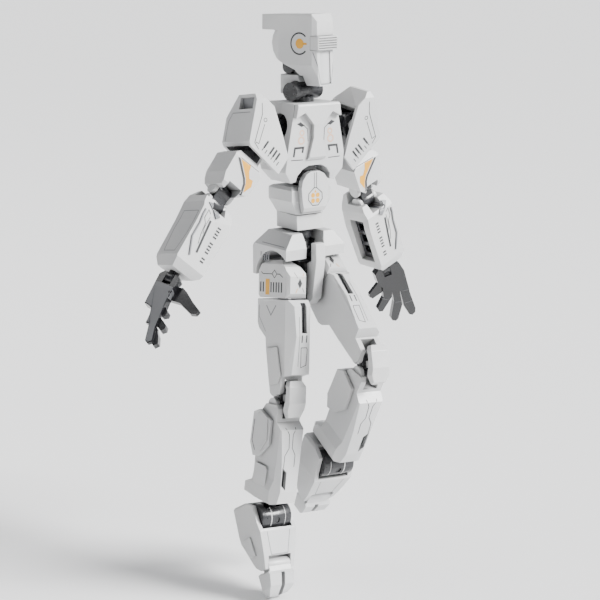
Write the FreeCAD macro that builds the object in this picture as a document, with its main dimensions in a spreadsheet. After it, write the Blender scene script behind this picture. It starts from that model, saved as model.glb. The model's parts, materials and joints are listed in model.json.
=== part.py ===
import FreeCAD, Part
import os
import Sketcher

# Articulated humanoid robot figure, about 140 mm tall when it stands straight.
#
# World frame: millimetres, +Z up, the figure faces -Y and its left side is +X.  The origin is the
# mouth of the display-stand bore in the back of the pelvis.
# Every piece is drawn in a neutral frame of its own limb (limb hanging along -Z, front towards -Y)
# and placed by the chain of joint frames in pose_frames().  SIDES holds +1 for the left limb and
# -1 for the right one; "outward" always means away from the middle of the figure.

SIDES = {"left": 1, "right": -1}

# ---------------------------------------------------------------------------------------------
# Driving dimensions.  Lengths in millimetres, angles in degrees.
# ---------------------------------------------------------------------------------------------
DIMENSIONS = {
    # spacing of the joints
    "hip_offset": 6.4,
    "hip_depth": 1.0,
    "thigh_reach": 30.1,
    "shin_reach": 32.2,
    "knee_depth": 1.0,
    "knee_gap": 2.1,
    "shoulder_offset": 13.8,
    "shoulder_depth": 1.0,
    "shoulder_height": 39.3,
    "upper_arm_reach": 21.4,
    "forearm_reach": 23.3,
    "elbow_gap": 1.9,
    "toe_reach": 12.2,
    # heights of the trunk joints above the hip axis
    "trunk_depth": 2.0,
    "waist_lean_height": 8.0,
    "waist_turn_height": 12.6,
    "spine_bend_height": 20.0,
    "spine_lean_height": 26.4,
    "neck_height": 48.2,
    "neck_depth": 1.0,
    "nod_height": 54.2,
    "nod_depth": 3.4,
    # hardware
    "pin_radius": 0.8,
    "peg_radius": 1.3,
    "running_gap": 0.05,
    "stand_port_radius": 1.5,
    "stand_port_height": 4.4,
    "ball_radius": 2.6,
    "hip_ball_radius": 2.7,
    "barrel_radius": 1.9,
    "neck_barrel_radius": 2.3,
    "drum_radius": 3.5,
    # width, depth and height of each kind of piece
    "pelvis_width": 18.8,
    "pelvis_depth": 14.6,
    "pelvis_height": 12.4,
    "pelvis_back": 9.3,
    "trunk_width": 12.4,
    "trunk_length": 10.0,
    "trunk_height": 8.0,
    "chest_width": 17.8,
    "chest_length": 13.4,
    "chest_height": 20.0,
    "neck_width": 6.0,
    "neck_length": 8.0,
    "neck_rise": 6.0,
    "head_width": 8.2,
    "head_length": 17.0,
    "head_height": 17.5,
    "pauldron_width": 10.5,
    "pauldron_depth": 12.1,
    "pauldron_height": 20.3,
    "arm_width": 9.4,
    "arm_depth": 9.4,
    "arm_length": 21.4,
    "forearm_width": 9.2,
    "forearm_depth": 9.6,
    "forearm_length": 22.0,
    "hand_thickness": 3.0,
    "hand_breadth": 7.0,
    "hand_length": 16.0,
    "hip_width": 6.4,
    "hip_length": 13.4,
    "hip_height": 9.8,
    "thigh_width": 6.8,
    "thigh_depth": 15.9,
    "thigh_length": 24.0,
    "shin_width": 7.6,
    "shin_depth": 15.0,
    "shin_length": 26.0,
    "foot_width": 11.6,
    "foot_length": 17.0,
    "foot_height": 11.0,
    # angles of the displayed pose
    "neck_yaw": 16.0,
    "hip_flex_right": 8.2,
    "hip_spread_right": 7.4,
    "knee_bend_right": 9.2,
    "hip_flex_left": 50.2,
    "hip_spread_left": -6.3,
    "knee_bend_left": 75.6,
    "arm_forward_right": 7.0,
    "arm_raise_right": 40.9,
    "arm_twist_right": 0.9,
    "elbow_bend_right": 1.6,
    "arm_forward_left": -7.0,
    "arm_raise_left": 21.9,
    "arm_twist_left": 5.3,
    "elbow_bend_left": 4.0,
    "wrist_twist_right": -35.0,
    "wrist_twist_left": -115.0,
    "hand_flex_right": 0.0,
    "hand_flex_left": 0.0,
    "foot_point_right": 58.0,
    "foot_point_left": 88.0,
}

doc = FreeCAD.newDocument("RobotFigure")
sheet = doc.addObject("Spreadsheet::Sheet", "dims")
for row, (alias, value) in enumerate(DIMENSIONS.items(), start=1):
    sheet.set(f"A{row}", alias)
    sheet.set(f"B{row}", str(value))
    sheet.setAlias(f"B{row}", alias)
doc.recompute()


def dim(alias):
    """Value of one cell of the sheet."""
    return float(sheet.get(alias))


# ---------------------------------------------------------------------------------------------
# Building one piece from outlines drawn on its own origin planes
# ---------------------------------------------------------------------------------------------
PLANES = {
    # plane role, sketch axes (indices of across, up), axis along the normal, sign of the normal
    "front": ("XZ_Plane", 0, 2, 1, -1),
    "side": ("YZ_Plane", 1, 2, 0, 1),
    "top": ("XY_Plane", 0, 1, 2, 1),
}
NODES = {}


class Piece:
    """One moulded piece: a PartDesign body and the three cells that size it.

    Coordinates are millimetres at the sheet's own sizes; each is bound to the piece's width, depth
    or height as a proportion of it.  side = -1 mirrors the piece to the right limb.
    """

    def __init__(self, label, sizes, side=1):
        self.label = label
        self.sizes = sizes
        self.side = side
        self.body = doc.addObject("PartDesign::Body", label)
        self.body.Label = label
        self.count = 0
        NODES[label] = self.body

    def bound(self, axis, value):
        """Expression for a coordinate along one axis."""
        if axis == 0:
            value = value * self.side
        return f"{value / dim(self.sizes[axis]):.6f} * dims.{self.sizes[axis]}"

    def value(self, axis, value):
        return value * (self.side if axis == 0 else 1)

    def span(self, axis, span):
        """Low and high ends of a span, mirrored when it runs across the figure."""
        low, high = span
        if axis == 0 and self.side < 0:
            low, high = high, low
        return low, high

    def sketch(self, view, span):
        """An empty sketch on one origin plane, moved to the near end of the span."""
        role, across, up, along, sign = PLANES[view]
        self.count += 1
        sketch = self.body.newObject("Sketcher::SketchObject", f"{self.label}_outline{self.count}")
        plane = [item for item in self.body.Origin.OriginFeatures if item.Role == role][0]
        sketch.AttachmentSupport = [(plane, "")]
        sketch.MapMode = "FlatFace"
        low, high = self.span(along, span)
        start = low if sign > 0 else high
        sketch.setExpression("AttachmentOffset.Base.z", f"{sign} * ({self.bound(along, start)})")
        return sketch

    def add_outline(self, sketch, view, points):
        """A closed outline whose corners are bound to the piece's sizes."""
        across, up = PLANES[view][1:3]
        corners = [FreeCAD.Vector(self.value(across, u), self.value(up, v), 0) for u, v in points]
        first = sketch.GeometryCount
        count = len(corners)
        lines = [Part.LineSegment(corners[i], corners[(i + 1) % count]) for i in range(count)]
        sketch.addGeometry(lines, False)
        for i, (u, v) in enumerate(points):
            here = first + i
            following = first + (i + 1) % count
            sketch.addConstraint(Sketcher.Constraint("Coincident", here, 2, following, 1))
            for kind, axis, number in (("DistanceX", across, u), ("DistanceY", up, v)):
                shown = self.value(axis, number)
                index = sketch.addConstraint(Sketcher.Constraint(kind, -1, 1, here, 1, shown))
                sketch.setExpression(f"Constraints[{index}]", self.bound(axis, number))

    def extrude(self, sketch, view, span, cut):
        """Pad or pocket a sketch over the span, which starts on the sketch's plane."""
        along = PLANES[view][3]
        length = abs(span[1] - span[0])
        kind = "Pocket" if cut else "Pad"
        feature = self.body.newObject(f"PartDesign::{kind}", f"{self.label}_{kind.lower()}{self.count}")
        feature.Profile = sketch
        feature.Reversed = cut
        feature.setExpression("Length", f"{length / dim(self.sizes[along]):.6f} * dims.{self.sizes[along]}")
        return feature

    def solid(self, view, points, span):
        sketch = self.sketch(view, span)
        self.add_outline(sketch, view, points)
        return self.extrude(sketch, view, span, False)

    def cut(self, view, points, span):
        sketch = self.sketch(view, span)
        self.add_outline(sketch, view, points)
        return self.extrude(sketch, view, span, True)

    def trim(self, view, points):
        """Cut away everything outside the outline, seen square to the plane."""
        reach = 60.0
        sketch = self.sketch(view, (0, 0))
        self.add_outline(sketch, view, [(-reach, -reach), (reach, -reach), (reach, reach), (-reach, reach)])
        self.add_outline(sketch, view, points)
        self.count += 1
        feature = self.body.newObject("PartDesign::Pocket", f"{self.label}_trim{self.count}")
        feature.Profile = sketch
        feature.Type = "ThroughAll"
        feature.Midplane = True
        return feature

    def round(self, view, centre, radius, span, cut=False):
        """A cylinder square to the plane; radius is an expression in the sheet's names."""
        across, up = PLANES[view][1:3]
        sketch = self.sketch(view, span)
        at = FreeCAD.Vector(self.value(across, centre[0]), self.value(up, centre[1]), 0)
        sketch.addGeometry(Part.Circle(at, FreeCAD.Vector(0, 0, 1), 1.0), False)
        index = sketch.addConstraint(Sketcher.Constraint("Radius", 0, 1.0))
        sketch.setExpression(f"Constraints[{index}]", radius)
        for kind, axis, number in (("DistanceX", across, centre[0]), ("DistanceY", up, centre[1])):
            shown = self.value(axis, number)
            index = sketch.addConstraint(Sketcher.Constraint(kind, -1, 1, 0, 3, shown))
            sketch.setExpression(f"Constraints[{index}]", self.bound(axis, number))
        return self.extrude(sketch, view, span, cut)

    def ball(self, centre, radius, cut=False):
        """A ball, or the socket of one."""
        kind = "SubtractiveSphere" if cut else "AdditiveSphere"
        self.count += 1
        feature = self.body.newObject(f"PartDesign::{kind}", f"{self.label}_ball{self.count}")
        plane = [item for item in self.body.Origin.OriginFeatures if item.Role == "XY_Plane"][0]
        feature.AttachmentSupport = [(plane, "")]
        feature.MapMode = "FlatFace"
        feature.setExpression("Radius", radius)
        if self.side < 0:
            feature.AttachmentOffset = turned(Z_AXIS, 180)
        for name, axis in (("x", 0), ("y", 1), ("z", 2)):
            feature.setExpression(f"AttachmentOffset.Base.{name}", self.bound(axis, centre[axis]))
        return feature


def box(low_u, low_v, high_u, high_v):
    """Corners of a rectangle."""
    return [(low_u, low_v), (high_u, low_v), (high_u, high_v), (low_u, high_v)]


def mirrored(points):
    """Complete a half outline, listed from top to bottom at positive x, to its mirror image."""
    return points + [(-u, v) for u, v in reversed(points)]


PIN = "dims.pin_radius"
PIN_BORE = "dims.pin_radius + dims.running_gap"
PEG = "dims.peg_radius"
PEG_BORE = "dims.peg_radius + dims.running_gap"
BARREL = "dims.barrel_radius"
BARREL_ROOM = "dims.barrel_radius + 3 * dims.running_gap"


# ---------------------------------------------------------------------------------------------
# Joint frames of the displayed pose
# ---------------------------------------------------------------------------------------------
def turned(axis, angle):
    return FreeCAD.Placement(FreeCAD.Vector(), FreeCAD.Rotation(FreeCAD.Vector(*axis), angle))


def moved(x, y, z):
    return FreeCAD.Placement(FreeCAD.Vector(x, y, z), FreeCAD.Rotation())


X_AXIS = (1, 0, 0)
Y_AXIS = (0, 1, 0)
Z_AXIS = (0, 0, 1)


def pose_frames():
    """Placement of every joint frame, by name."""
    frames = {}
    origin = moved(0, -dim("pelvis_back"), -dim("stand_port_height"))
    frames["pelvis"] = origin
    deep = dim("trunk_depth") - dim("hip_depth")
    for name in ("waist_lean", "waist_turn", "spine_bend", "spine_lean"):
        frames[name] = origin.multiply(moved(0, deep, dim(name + "_height")))
    chest = frames["spine_lean"]
    rise = dim("neck_height") - dim("spine_lean_height")
    back = dim("neck_depth") - dim("trunk_depth")
    frames["neck"] = chest.multiply(moved(0, back, rise)).multiply(turned(Z_AXIS, dim("neck_yaw")))
    nod = (0, dim("nod_depth") - dim("neck_depth"), dim("nod_height") - dim("neck_height"))
    frames["head"] = frames["neck"].multiply(moved(*nod))
    for name, side in SIDES.items():
        arm_frames(frames, chest, name, side)
        leg_frames(frames, origin, name, side)
    return frames


def double_hinge(frames, parent, name, joint, gap, bend, reach, depth):
    """Frames of a two-pin link and of the limb beyond it; bend is shared by the two pins."""
    upper = parent.multiply(moved(0, -depth, gap - reach))
    link = upper.multiply(turned(X_AXIS, bend / 2))
    lower = link.multiply(moved(0, 0, -2 * gap)).multiply(turned(X_AXIS, bend / 2))
    frames[f"{joint}_upper_{name}"] = link
    frames[f"{joint}_link_{name}"] = link.multiply(moved(0, 0, -gap))
    frames[f"{joint}_lower_{name}"] = lower
    return lower.multiply(moved(0, 0, gap))


def arm_frames(frames, chest, name, side):
    x = side * dim("shoulder_offset")
    y = dim("shoulder_depth") - dim("trunk_depth")
    z = dim("shoulder_height") - dim("spine_lean_height")
    shoulder = chest.multiply(moved(x, y, z))
    forward = shoulder.multiply(turned(X_AXIS, -dim(f"arm_forward_{name}")))
    frames[f"shoulder_{name}"] = forward
    frames[f"pauldron_{name}"] = forward
    raised = forward.multiply(turned(Y_AXIS, -side * dim(f"arm_raise_{name}")))
    frames[f"arm_root_{name}"] = raised
    upper = raised.multiply(turned(Z_AXIS, side * dim(f"arm_twist_{name}")))
    frames[f"upper_arm_{name}"] = upper
    bend = -dim(f"elbow_bend_{name}")
    reach = dim("upper_arm_reach")
    forearm = double_hinge(frames, upper, name, "elbow", dim("elbow_gap"), bend, reach, 0.0)
    frames[f"forearm_{name}"] = forearm
    wrist = forearm.multiply(moved(0, 0, -dim("forearm_reach")))
    frames[f"wrist_{name}"] = wrist.multiply(turned(Z_AXIS, side * dim(f"wrist_twist_{name}")))
    hand = frames[f"wrist_{name}"].multiply(turned(Y_AXIS, side * dim(f"hand_flex_{name}")))
    frames[f"hand_{name}"] = hand


def leg_frames(frames, origin, name, side):
    hip = origin.multiply(moved(side * dim("hip_offset"), 0, 0))
    swung = hip.multiply(turned(X_AXIS, -dim(f"hip_flex_{name}")))
    frames[f"hip_{name}"] = swung
    spread = swung.multiply(turned(Y_AXIS, -side * dim(f"hip_spread_{name}")))
    frames[f"hip_block_{name}"] = spread
    frames[f"thigh_{name}"] = spread
    bend = dim(f"knee_bend_{name}")
    reach = dim("thigh_reach")
    shin = double_hinge(frames, spread, name, "knee", dim("knee_gap"), bend, reach, dim("knee_depth"))
    frames[f"shin_{name}"] = shin
    ankle = shin.multiply(moved(0, 0, -dim("shin_reach")))
    frames[f"ankle_{name}"] = ankle
    frames[f"foot_{name}"] = ankle.multiply(turned(X_AXIS, dim(f"foot_point_{name}")))
    frames[f"toe_{name}"] = frames[f"foot_{name}"].multiply(moved(0, -dim("toe_reach"), -1.5))


# ---------------------------------------------------------------------------------------------
# Pelvis and trunk.  Frames: hip axis for the pelvis, the joint below for the others.
# ---------------------------------------------------------------------------------------------
PELVIS = ("pelvis_width", "pelvis_depth", "pelvis_height")
TRUNK = ("trunk_width", "trunk_length", "trunk_height")
CHEST = ("chest_width", "chest_length", "chest_height")
NECK = ("neck_width", "neck_length", "neck_rise")
HEAD = ("head_width", "head_length", "head_height")


def pelvis_shell():
    """White belt: roof over both hips, arched side walls and a back with the stand bore."""
    piece = Piece("pelvis_shell", PELVIS)
    profile = [(-5.2, 5.2), (-5.4, 8.6), (-4.2, 12.4), (6.3, 12.4), (9.3, 8.0), (9.3, 0.6), (5.8, 0.6)]
    piece.solid("side", profile, (-9.4, 9.4))
    roof = mirrored([(6.5, 12.4), (9.4, 8.8), (9.4, -1.0)])
    piece.trim("front", roof)
    hip_room = 7.95
    for side in (-1, 1):
        low, high = sorted((side * 2.9, side * 9.4))
        piece.round("side", (0, 0), f"{hip_room / 7.3:.6f} * dims.pelvis_depth / 2", (low, high), cut=True)
    piece.cut("top", box(-2.9, -6.0, 2.9, 5.4), (-1.0, 10.4))
    piece.cut("front", [(-3.6, 13.0), (-2.9, 10.2), (2.9, 10.2), (3.6, 13.0)], (-6.0, 5.2))
    piece.round("front", (0, 4.4), "dims.stand_port_radius", (4.3, 9.4), cut=True)
    return piece


def pelvis_frame():
    """Black block with a pin for each hip and a fork for the waist."""
    piece = Piece("pelvis_frame", PELVIS)
    piece.solid("side", [(-3.6, -5.2), (4.2, -5.2), (4.2, 4.6), (-3.6, 4.6)], (-2.1, 2.1))
    piece.solid("side", box(-2.0, -2.0, 2.0, 4.6), (-2.85, 2.85))
    for side in (-1, 1):
        low, high = sorted((side * 1.95, side * 2.85))
        piece.solid("side", box(-1.2, 4.6, 3.2, 9.9), (low, high))
    piece.round("side", (0, 0), PEG, (-5.0, 5.0))
    piece.round("side", (1.0, 8.0), PIN, (-2.4, 2.4))
    return piece


def crotch_guard():
    """White bar down the front of the pelvis and under it."""
    piece = Piece("crotch_guard", PELVIS)
    outline = [(-7.4, 9.9), (-7.6, 5.6), (-6.0, -4.6), (-4.0, -6.6), (3.4, -6.6), (4.2, -5.2),
               (-3.6, -5.2), (-3.6, 4.4), (-5.4, 5.2), (-5.4, 9.9)]
    piece.solid("side", outline, (-1.5, 1.5))
    return piece


def waist_joint():
    """Black tee: a cross barrel in the pelvis fork and a peg for the trunk."""
    piece = Piece("waist_joint", TRUNK)
    piece.round("side", (0, 0), BARREL, (-1.8, 1.8))
    piece.solid("side", box(-1.4, 0, 1.4, 3.0), (-1.8, 1.8))
    piece.round("top", (0, 0), "1.5 * dims.barrel_radius", (2.6, 4.4))
    piece.round("top", (0, 0), PEG, (4.4, 8.4))
    piece.round("side", (0, 0), PIN_BORE, (-1.8, 1.8), cut=True)
    return piece


def waist_band():
    """White belt under the abdomen, turning on the waist peg."""
    piece = Piece("waist_band", TRUNK)
    outline = [(-4.1, 0.4), (4.9, 0.4), (4.9, 4.4), (-3.8, 4.2)]
    piece.solid("side", outline, (-4.1, 4.1))
    piece.round("top", (0, 0), PEG_BORE, (-1.0, 4.0), cut=True)
    return piece


def abdomen_core():
    """Wide lower trunk, cupped on top for the spine link."""
    piece = Piece("abdomen_core", TRUNK)
    outline = [(-3.8, 4.4), (5.0, 4.4), (5.6, 8.2), (5.6, 11.0), (4.4, 11.6), (-3.6, 11.6), (-4.6, 10.8),
               (-4.6, 8.0)]
    piece.solid("side", outline, (-6.2, 6.2))
    piece.trim("front", mirrored([(5.6, 11.7), (6.2, 10.8), (6.2, 8.0), (4.1, 4.4)]))
    piece.cut("top", box(-2.3, -3.2, 2.3, 3.2), (5.2, 12.4))
    piece.round("side", (0, 7.4), PIN_BORE, (-3.9, 3.9), cut=True)
    return piece


def abdomen_plate():
    """Raised tongue with an arched top, in front of the lower trunk."""
    piece = Piece("abdomen_plate", TRUNK)
    arch = mirrored([(1.4, 15.6), (2.8, 14.9), (3.9, 13.4), (4.3, 11.6), (4.0, 8.0), (3.4, 5.3)])
    piece.solid("front", arch, (-6.2, -4.6))
    piece.solid("front", box(-3.0, 4.6, 3.0, 7.6), (-4.7, -3.8))
    piece.trim("side", [(-6.2, 16.0), (-6.2, 6.4), (-5.0, 4.4), (-3.8, 4.4), (-4.6, 8.0), (-4.6, 16.0)])
    return piece


def spine_link():
    """Black link: bends in the abdomen and leans in the chest."""
    piece = Piece("spine_link", TRUNK)
    piece.round("side", (0, 0), BARREL, (-2.1, 2.1))
    piece.solid("side", box(-1.3, 0, 1.3, 6.4), (-1.5, 1.5))
    piece.round("front", (0, 6.4), BARREL, (-2.1, 2.1))
    piece.round("side", (0, 0), PIN, (-3.7, 3.7))
    piece.round("front", (0, 6.4), PIN, (-3.4, 3.4))
    return piece


CHEST_SHAPE = mirrored([(6.6, 19.1), (7.2, 15.4), (8.9, 6.6), (9.0, 2.0), (6.8, -0.9), (5.4, -0.6)])


def chest_core():
    """Black inner frame that carries the spine, both shoulders and the neck."""
    piece = Piece("chest_core", CHEST)
    piece.solid("front", box(-5.0, 3.4, 5.0, 17.8), (-4.2, 4.0))
    piece.solid("front", box(-1.9, -1.3, 1.9, 3.4), (-3.7, 3.7))
    piece.cut("front", box(-2.6, -1.9, 2.6, 2.2), (-2.25, 2.25))
    piece.round("front", (0, 0), PIN_BORE, (-3.55, 3.55), cut=True)
    piece.round("side", (-1.0, 12.9), PEG, (-9.6, 9.6))
    piece.round("top", (0, -1.0), PEG_BORE, (14.6, 18.6), cut=True)
    return piece


def chest_half(label, span, core_span):
    """One half of the white chest casing, parted through the shoulders."""
    piece = Piece(label, CHEST)
    piece.solid("front", CHEST_SHAPE, span)
    piece.cut("front", box(-5.0, 3.4, 5.0, 17.8), core_span)
    for side in (-1, 1):
        low, high = sorted((side * 4.9, side * 9.3))
        piece.round("side", (-1.0, 12.9), "1.35 * dims.ball_radius", (low, high), cut=True)
    piece.round("top", (0, -1.0), "1.1 * dims.ball_radius", (17.0, 19.6), cut=True)
    return piece


def chest_front():
    """White front casing with a slanted upper face and an arch over the abdomen plate."""
    piece = chest_half("chest_front", (-6.4, -1.0), (-4.2, -1.0))
    piece.cut("front", mirrored([(2.0, 3.4), (3.8, 2.5), (5.2, 0.9), (5.5, -1.4)]), (-6.6, -0.9))
    piece.trim("side", [(-6.4, 16.0), (-6.4, 6.0), (-5.7, 1.6), (-4.9, -1.2), (0.0, -1.2), (0.0, 20.0),
                        (-6.2, 20.0)])
    return piece


def chest_back():
    """White back casing with sloping shoulder blades."""
    piece = chest_half("chest_back", (-1.0, 6.2), (-1.0, 4.0))
    piece.cut("front", mirrored([(3.2, 3.4), (3.2, -1.4)]), (-1.1, 3.9))
    piece.trim("side", [(-2.0, -1.2), (3.6, -1.2), (5.4, 3.0), (6.2, 9.0), (6.2, 14.0), (4.9, 19.4),
                        (-2.0, 19.4)])
    return piece


def chest_crest():
    """Raised breastbone: a bar across the top that narrows to a waisted stem."""
    piece = Piece("chest_crest", CHEST)
    outline = mirrored([(6.5, 19.1), (7.1, 15.6), (4.3, 16.9), (1.5, 13.8), (1.5, 10.4), (2.9, 4.9)])
    piece.solid("front", outline, (-7.9, -6.4))
    piece.trim("side", [(-7.9, 18.6), (-7.6, 13.0), (-7.2, 5.6), (-6.4, 4.7), (-6.0, 4.7), (-6.0, 19.4),
                        (-7.4, 19.4)])
    return piece


def neck_ball():
    """Black neck base: turning peg, collar and a long cross barrel."""
    piece = Piece("neck_ball", NECK)
    piece.round("side", (0, 0), "dims.neck_barrel_radius", (-5.4, 5.4))
    piece.round("top", (0, 0), "1.04 * dims.ball_radius", (-3.7, -1.4))
    piece.round("top", (0, 0), PEG, (-7.0, -3.5))
    return piece


def neck_riser():
    """White block behind the neck barrel with a lug for the head pin."""
    piece = Piece("neck_riser", NECK)
    piece.solid("side", [(-1.2, 1.4), (-0.6, 4.1), (5.0, 4.1), (5.0, -0.8), (2.0, -0.8)], (-3.0, 3.0))
    piece.round("side", (2.4, 6.0), BARREL, (-1.6, 1.6))
    piece.solid("side", box(0.6, 3.6, 4.2, 6.2), (-1.6, 1.6))
    piece.round("side", (0, 0), "dims.neck_barrel_radius + 3 * dims.running_gap", (-3.1, 3.1), cut=True)
    piece.round("side", (2.4, 6.0), PIN_BORE, (-1.7, 1.7), cut=True)
    return piece


HEAD_PROFILE = [(7.5, 12.9), (-7.9, 13.2), (-9.2, 11.4), (-9.2, 4.2), (-9.6, -4.5), (-5.4, -4.5),
                (-4.8, -2.0),
                (-3.9, -2.0), (-2.6, -0.7), (0.8, 0.8), (3.2, 2.0), (4.9, 3.8), (5.5, 5.8), (5.0,
                                                                                             7.6), (3.8, 9.1),
                (7.5, 9.1)]


def head_shell():
    """White helmet: fin, round bevelled back, jaw, and a hollow under the back for the neck fork."""
    piece = Piece("head_shell", HEAD)
    piece.solid("side", HEAD_PROFILE, (-4.1, 4.1))
    piece.trim("front", mirrored([(3.8, 13.4), (4.1, 12.8), (4.1, 0.6), (2.5, -4.6)]))
    piece.trim("top", [(-4.1, 8.0), (-4.1, -8.1), (-2.9, -9.8), (2.9, -9.8), (4.1, -8.1), (4.1, 8.0)])
    for side in (-1, 1):
        piece.cut("top", [(side * 4.4, 1.6), (side * 2.5, 6.0), (side * 4.4, 6.0)], (-1.0, 9.0))
    piece.cut("side", box(-1.8, -2.2, 1.8, 4.4), (-3.2, 3.2))
    piece.round("side", (0, 0), "dims.barrel_radius + 6 * dims.running_gap", (-1.75, 1.75), cut=True)
    piece.cut("side", box(-9.7, 4.3, -7.6, 7.9), (-4.3, 4.3))
    piece.cut("side", [(-10.0, 3.9), (-10.0, -4.0), (-8.6, -4.0), (-8.2, 3.9)], (-2.1, 2.1))
    return piece


def head_core():
    """Black fork inside the helmet with the nod pin."""
    piece = Piece("head_core", HEAD)
    piece.round("side", (0, 0), "0.9 * dims.barrel_radius", (-3.2, 3.2))
    piece.solid("side", box(-1.7, 0, 1.7, 4.4), (-3.2, 3.2))
    piece.cut("side", box(-2.0, -2.0, 2.0, 2.2), (-1.75, 1.75))
    piece.round("side", (0, 0), PIN, (-3.2, 3.2))
    return piece


def face_plate():
    """White lower face set into the front of the helmet."""
    piece = Piece("face_plate", HEAD)
    piece.solid("side", [(-9.0, 3.9), (-9.3, -4.0), (-8.6, -4.0), (-8.2, 3.9)], (-2.1, 2.1))
    return piece


def visor():
    """White slotted band across the eyes, standing proud of the helmet."""
    piece = Piece("visor", HEAD)
    piece.solid("side", box(-10.4, 4.4, -7.6, 7.8), (-4.1, 4.1))
    piece.trim("top", [(-4.1, -7.0), (-4.1, -10.1), (-3.8, -10.4), (3.8, -10.4), (4.1, -10.1), (4.1, -7.0)])
    for index in range(5):
        low = 4.7 + 0.6 * index
        piece.cut("side", box(-10.6, low, -10.1, low + 0.3), (-4.2, 4.2))
    return piece


# ---------------------------------------------------------------------------------------------
# Arms.  Frames: the shoulder centre down to the elbow, then the elbow, then the wrist.
# ---------------------------------------------------------------------------------------------
PAULDRON = ("pauldron_width", "pauldron_depth", "pauldron_height")
ARM = ("arm_width", "arm_depth", "arm_length")
FOREARM = ("forearm_width", "forearm_depth", "forearm_length")
HAND = ("hand_thickness", "hand_breadth", "hand_length")


def shoulder_ball(name, side):
    """Black ball with a sleeve over the chest pin and a pin from front to back."""
    piece = Piece(f"shoulder_ball_{name}", ARM, side)
    piece.ball((0, 0, 0), "dims.ball_radius")
    piece.round("side", (0, 0), "0.78 * dims.ball_radius", (-8.4, -1.0))
    piece.round("front", (0, 0), PIN, (-4.7, 4.7))
    piece.round("side", (0, 0), PEG_BORE, (-8.6, -3.9), cut=True)
    return piece


def pauldron(name, side):
    """White shoulder guard: pointed front and back plates, an outer wall and a closed top."""
    piece = Piece(f"pauldron_{name}", PAULDRON, side)
    plate = [(-1.1, 5.3), (2.4, 8.8), (3.5, 8.8), (7.1, -2.6), (6.8, -3.7), (-0.8, -11.3), (-4.2, -7.5),
             (-3.1, -2.3)]
    wall = [(2.4, 8.8), (3.5, 8.8), (7.1, -2.6), (6.8, -3.7), (5.7, -3.4), (3.6, 4.6), (-0.6, 4.4),
            (-1.1, 5.3)]
    piece.solid("front", wall, (-5.9, 6.2))
    piece.solid("front", plate, (-5.9, -4.9))
    piece.solid("front", plate, (5.2, 6.2))
    for low, high in ((-4.9, -3.1), (3.1, 5.2)):
        piece.round("front", (0, 0), "0.6 * dims.ball_radius", (low, high))
    piece.round("front", (0, 0), PIN_BORE, (-4.85, 4.85), cut=True)
    piece.trim("side", [(-5.9, -12.0), (-5.9, 7.4), (-4.6, 9.0), (2.2, 9.0), (6.2, 3.4), (6.2, -7.0),
                        (4.9, -12.0)])
    piece.cut("side", box(-4.7, 5.2, 1.3, 8.0), (3.2, 7.4))
    return piece


def arm_root(name, side):
    """Black socket around the shoulder ball, with the peg that the upper arm turns on."""
    piece = Piece(f"arm_root_{name}", ARM, side)
    piece.solid("front", [(-2.9, 0.6), (-1.2, 3.0), (1.6, 3.0), (2.9, 1.6), (2.9, -2.2), (1.8, -3.6),
                          (1.8, -8.6), (-2.9, -8.6)], (-3.0, 3.0))
    piece.ball((0, 0, 0), "dims.ball_radius + dims.running_gap", cut=True)
    slot = [(-3.1, -2.1), (-0.4, -2.1), (2.0, -1.2), (2.75, 3.2), (-3.1, 3.2)]
    piece.cut("front", slot, (-2.1, 2.1))
    piece.round("front", (0, 0), PIN_BORE, (-3.1, 3.1), cut=True)
    piece.round("top", (0, 0), PEG, (-13.0, -8.5))
    return piece


def lugs(piece, centre, radius, half_width, join):
    """Rounded cheeks for a cross pin, joined to the rest of the piece by a block."""
    piece.round("side", centre, radius, (-half_width, half_width))
    low, high = sorted((centre[1], join))
    reach = 1.6
    piece.solid("side", box(centre[0] - reach, low, centre[0] + reach, high), (-half_width, half_width))


def upper_arm(name, side):
    """White block with a six-sided front, bored for the arm peg and forked for the elbow."""
    piece = Piece(f"upper_arm_{name}", ARM, side)
    front = [(-2.4, -9.0), (3.2, -9.0), (4.4, -10.3), (4.3, -16.0), (3.3, -19.0), (-1.2, -20.2),
             (-4.4, -17.4),
             (-4.9, -11.4)]
    piece.solid("front", front, (-4.7, 4.3))
    piece.trim("side", [(-3.3, -8.0), (-4.7, -10.9), (-4.7, -18.0), (-2.9, -21.0), (2.6, -21.0), (4.3, -17.6),
                        (4.3, -10.4), (3.3, -8.0)])
    lugs(piece, (0, -19.5), "0.9 * dims.barrel_radius", 3.0, -15.0)
    piece.cut("side", box(-5.0, -24.0, 2.3, -17.3), (-2.05, 2.05))
    piece.round("side", (0, -19.5), "1.15 * dims.barrel_radius", (-2.05, 2.05), cut=True)
    piece.round("side", (0, -19.5), PIN_BORE, (-2.85, 2.85), cut=True)
    piece.round("top", (0, 0), PEG_BORE, (-13.2, -8.9), cut=True)
    return piece


def link(label, sizes, side, gap, half_width, pin_reach):
    """Black dog-bone with a pin at each end for a double hinge."""
    piece = Piece(label, sizes, side)
    for height in (-gap, gap):
        piece.round("side", (0, height), BARREL, (-half_width, half_width))
    piece.solid("side", box(-1.5, -gap, 1.5, gap), (-half_width, half_width))
    for height in (-gap, gap):
        piece.round("side", (0, height), PIN, (-pin_reach, pin_reach))
    return piece


def elbow_link(name, side):
    return link(f"elbow_link_{name}", ARM, side, dim("elbow_gap"), 1.9, 2.75)


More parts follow.
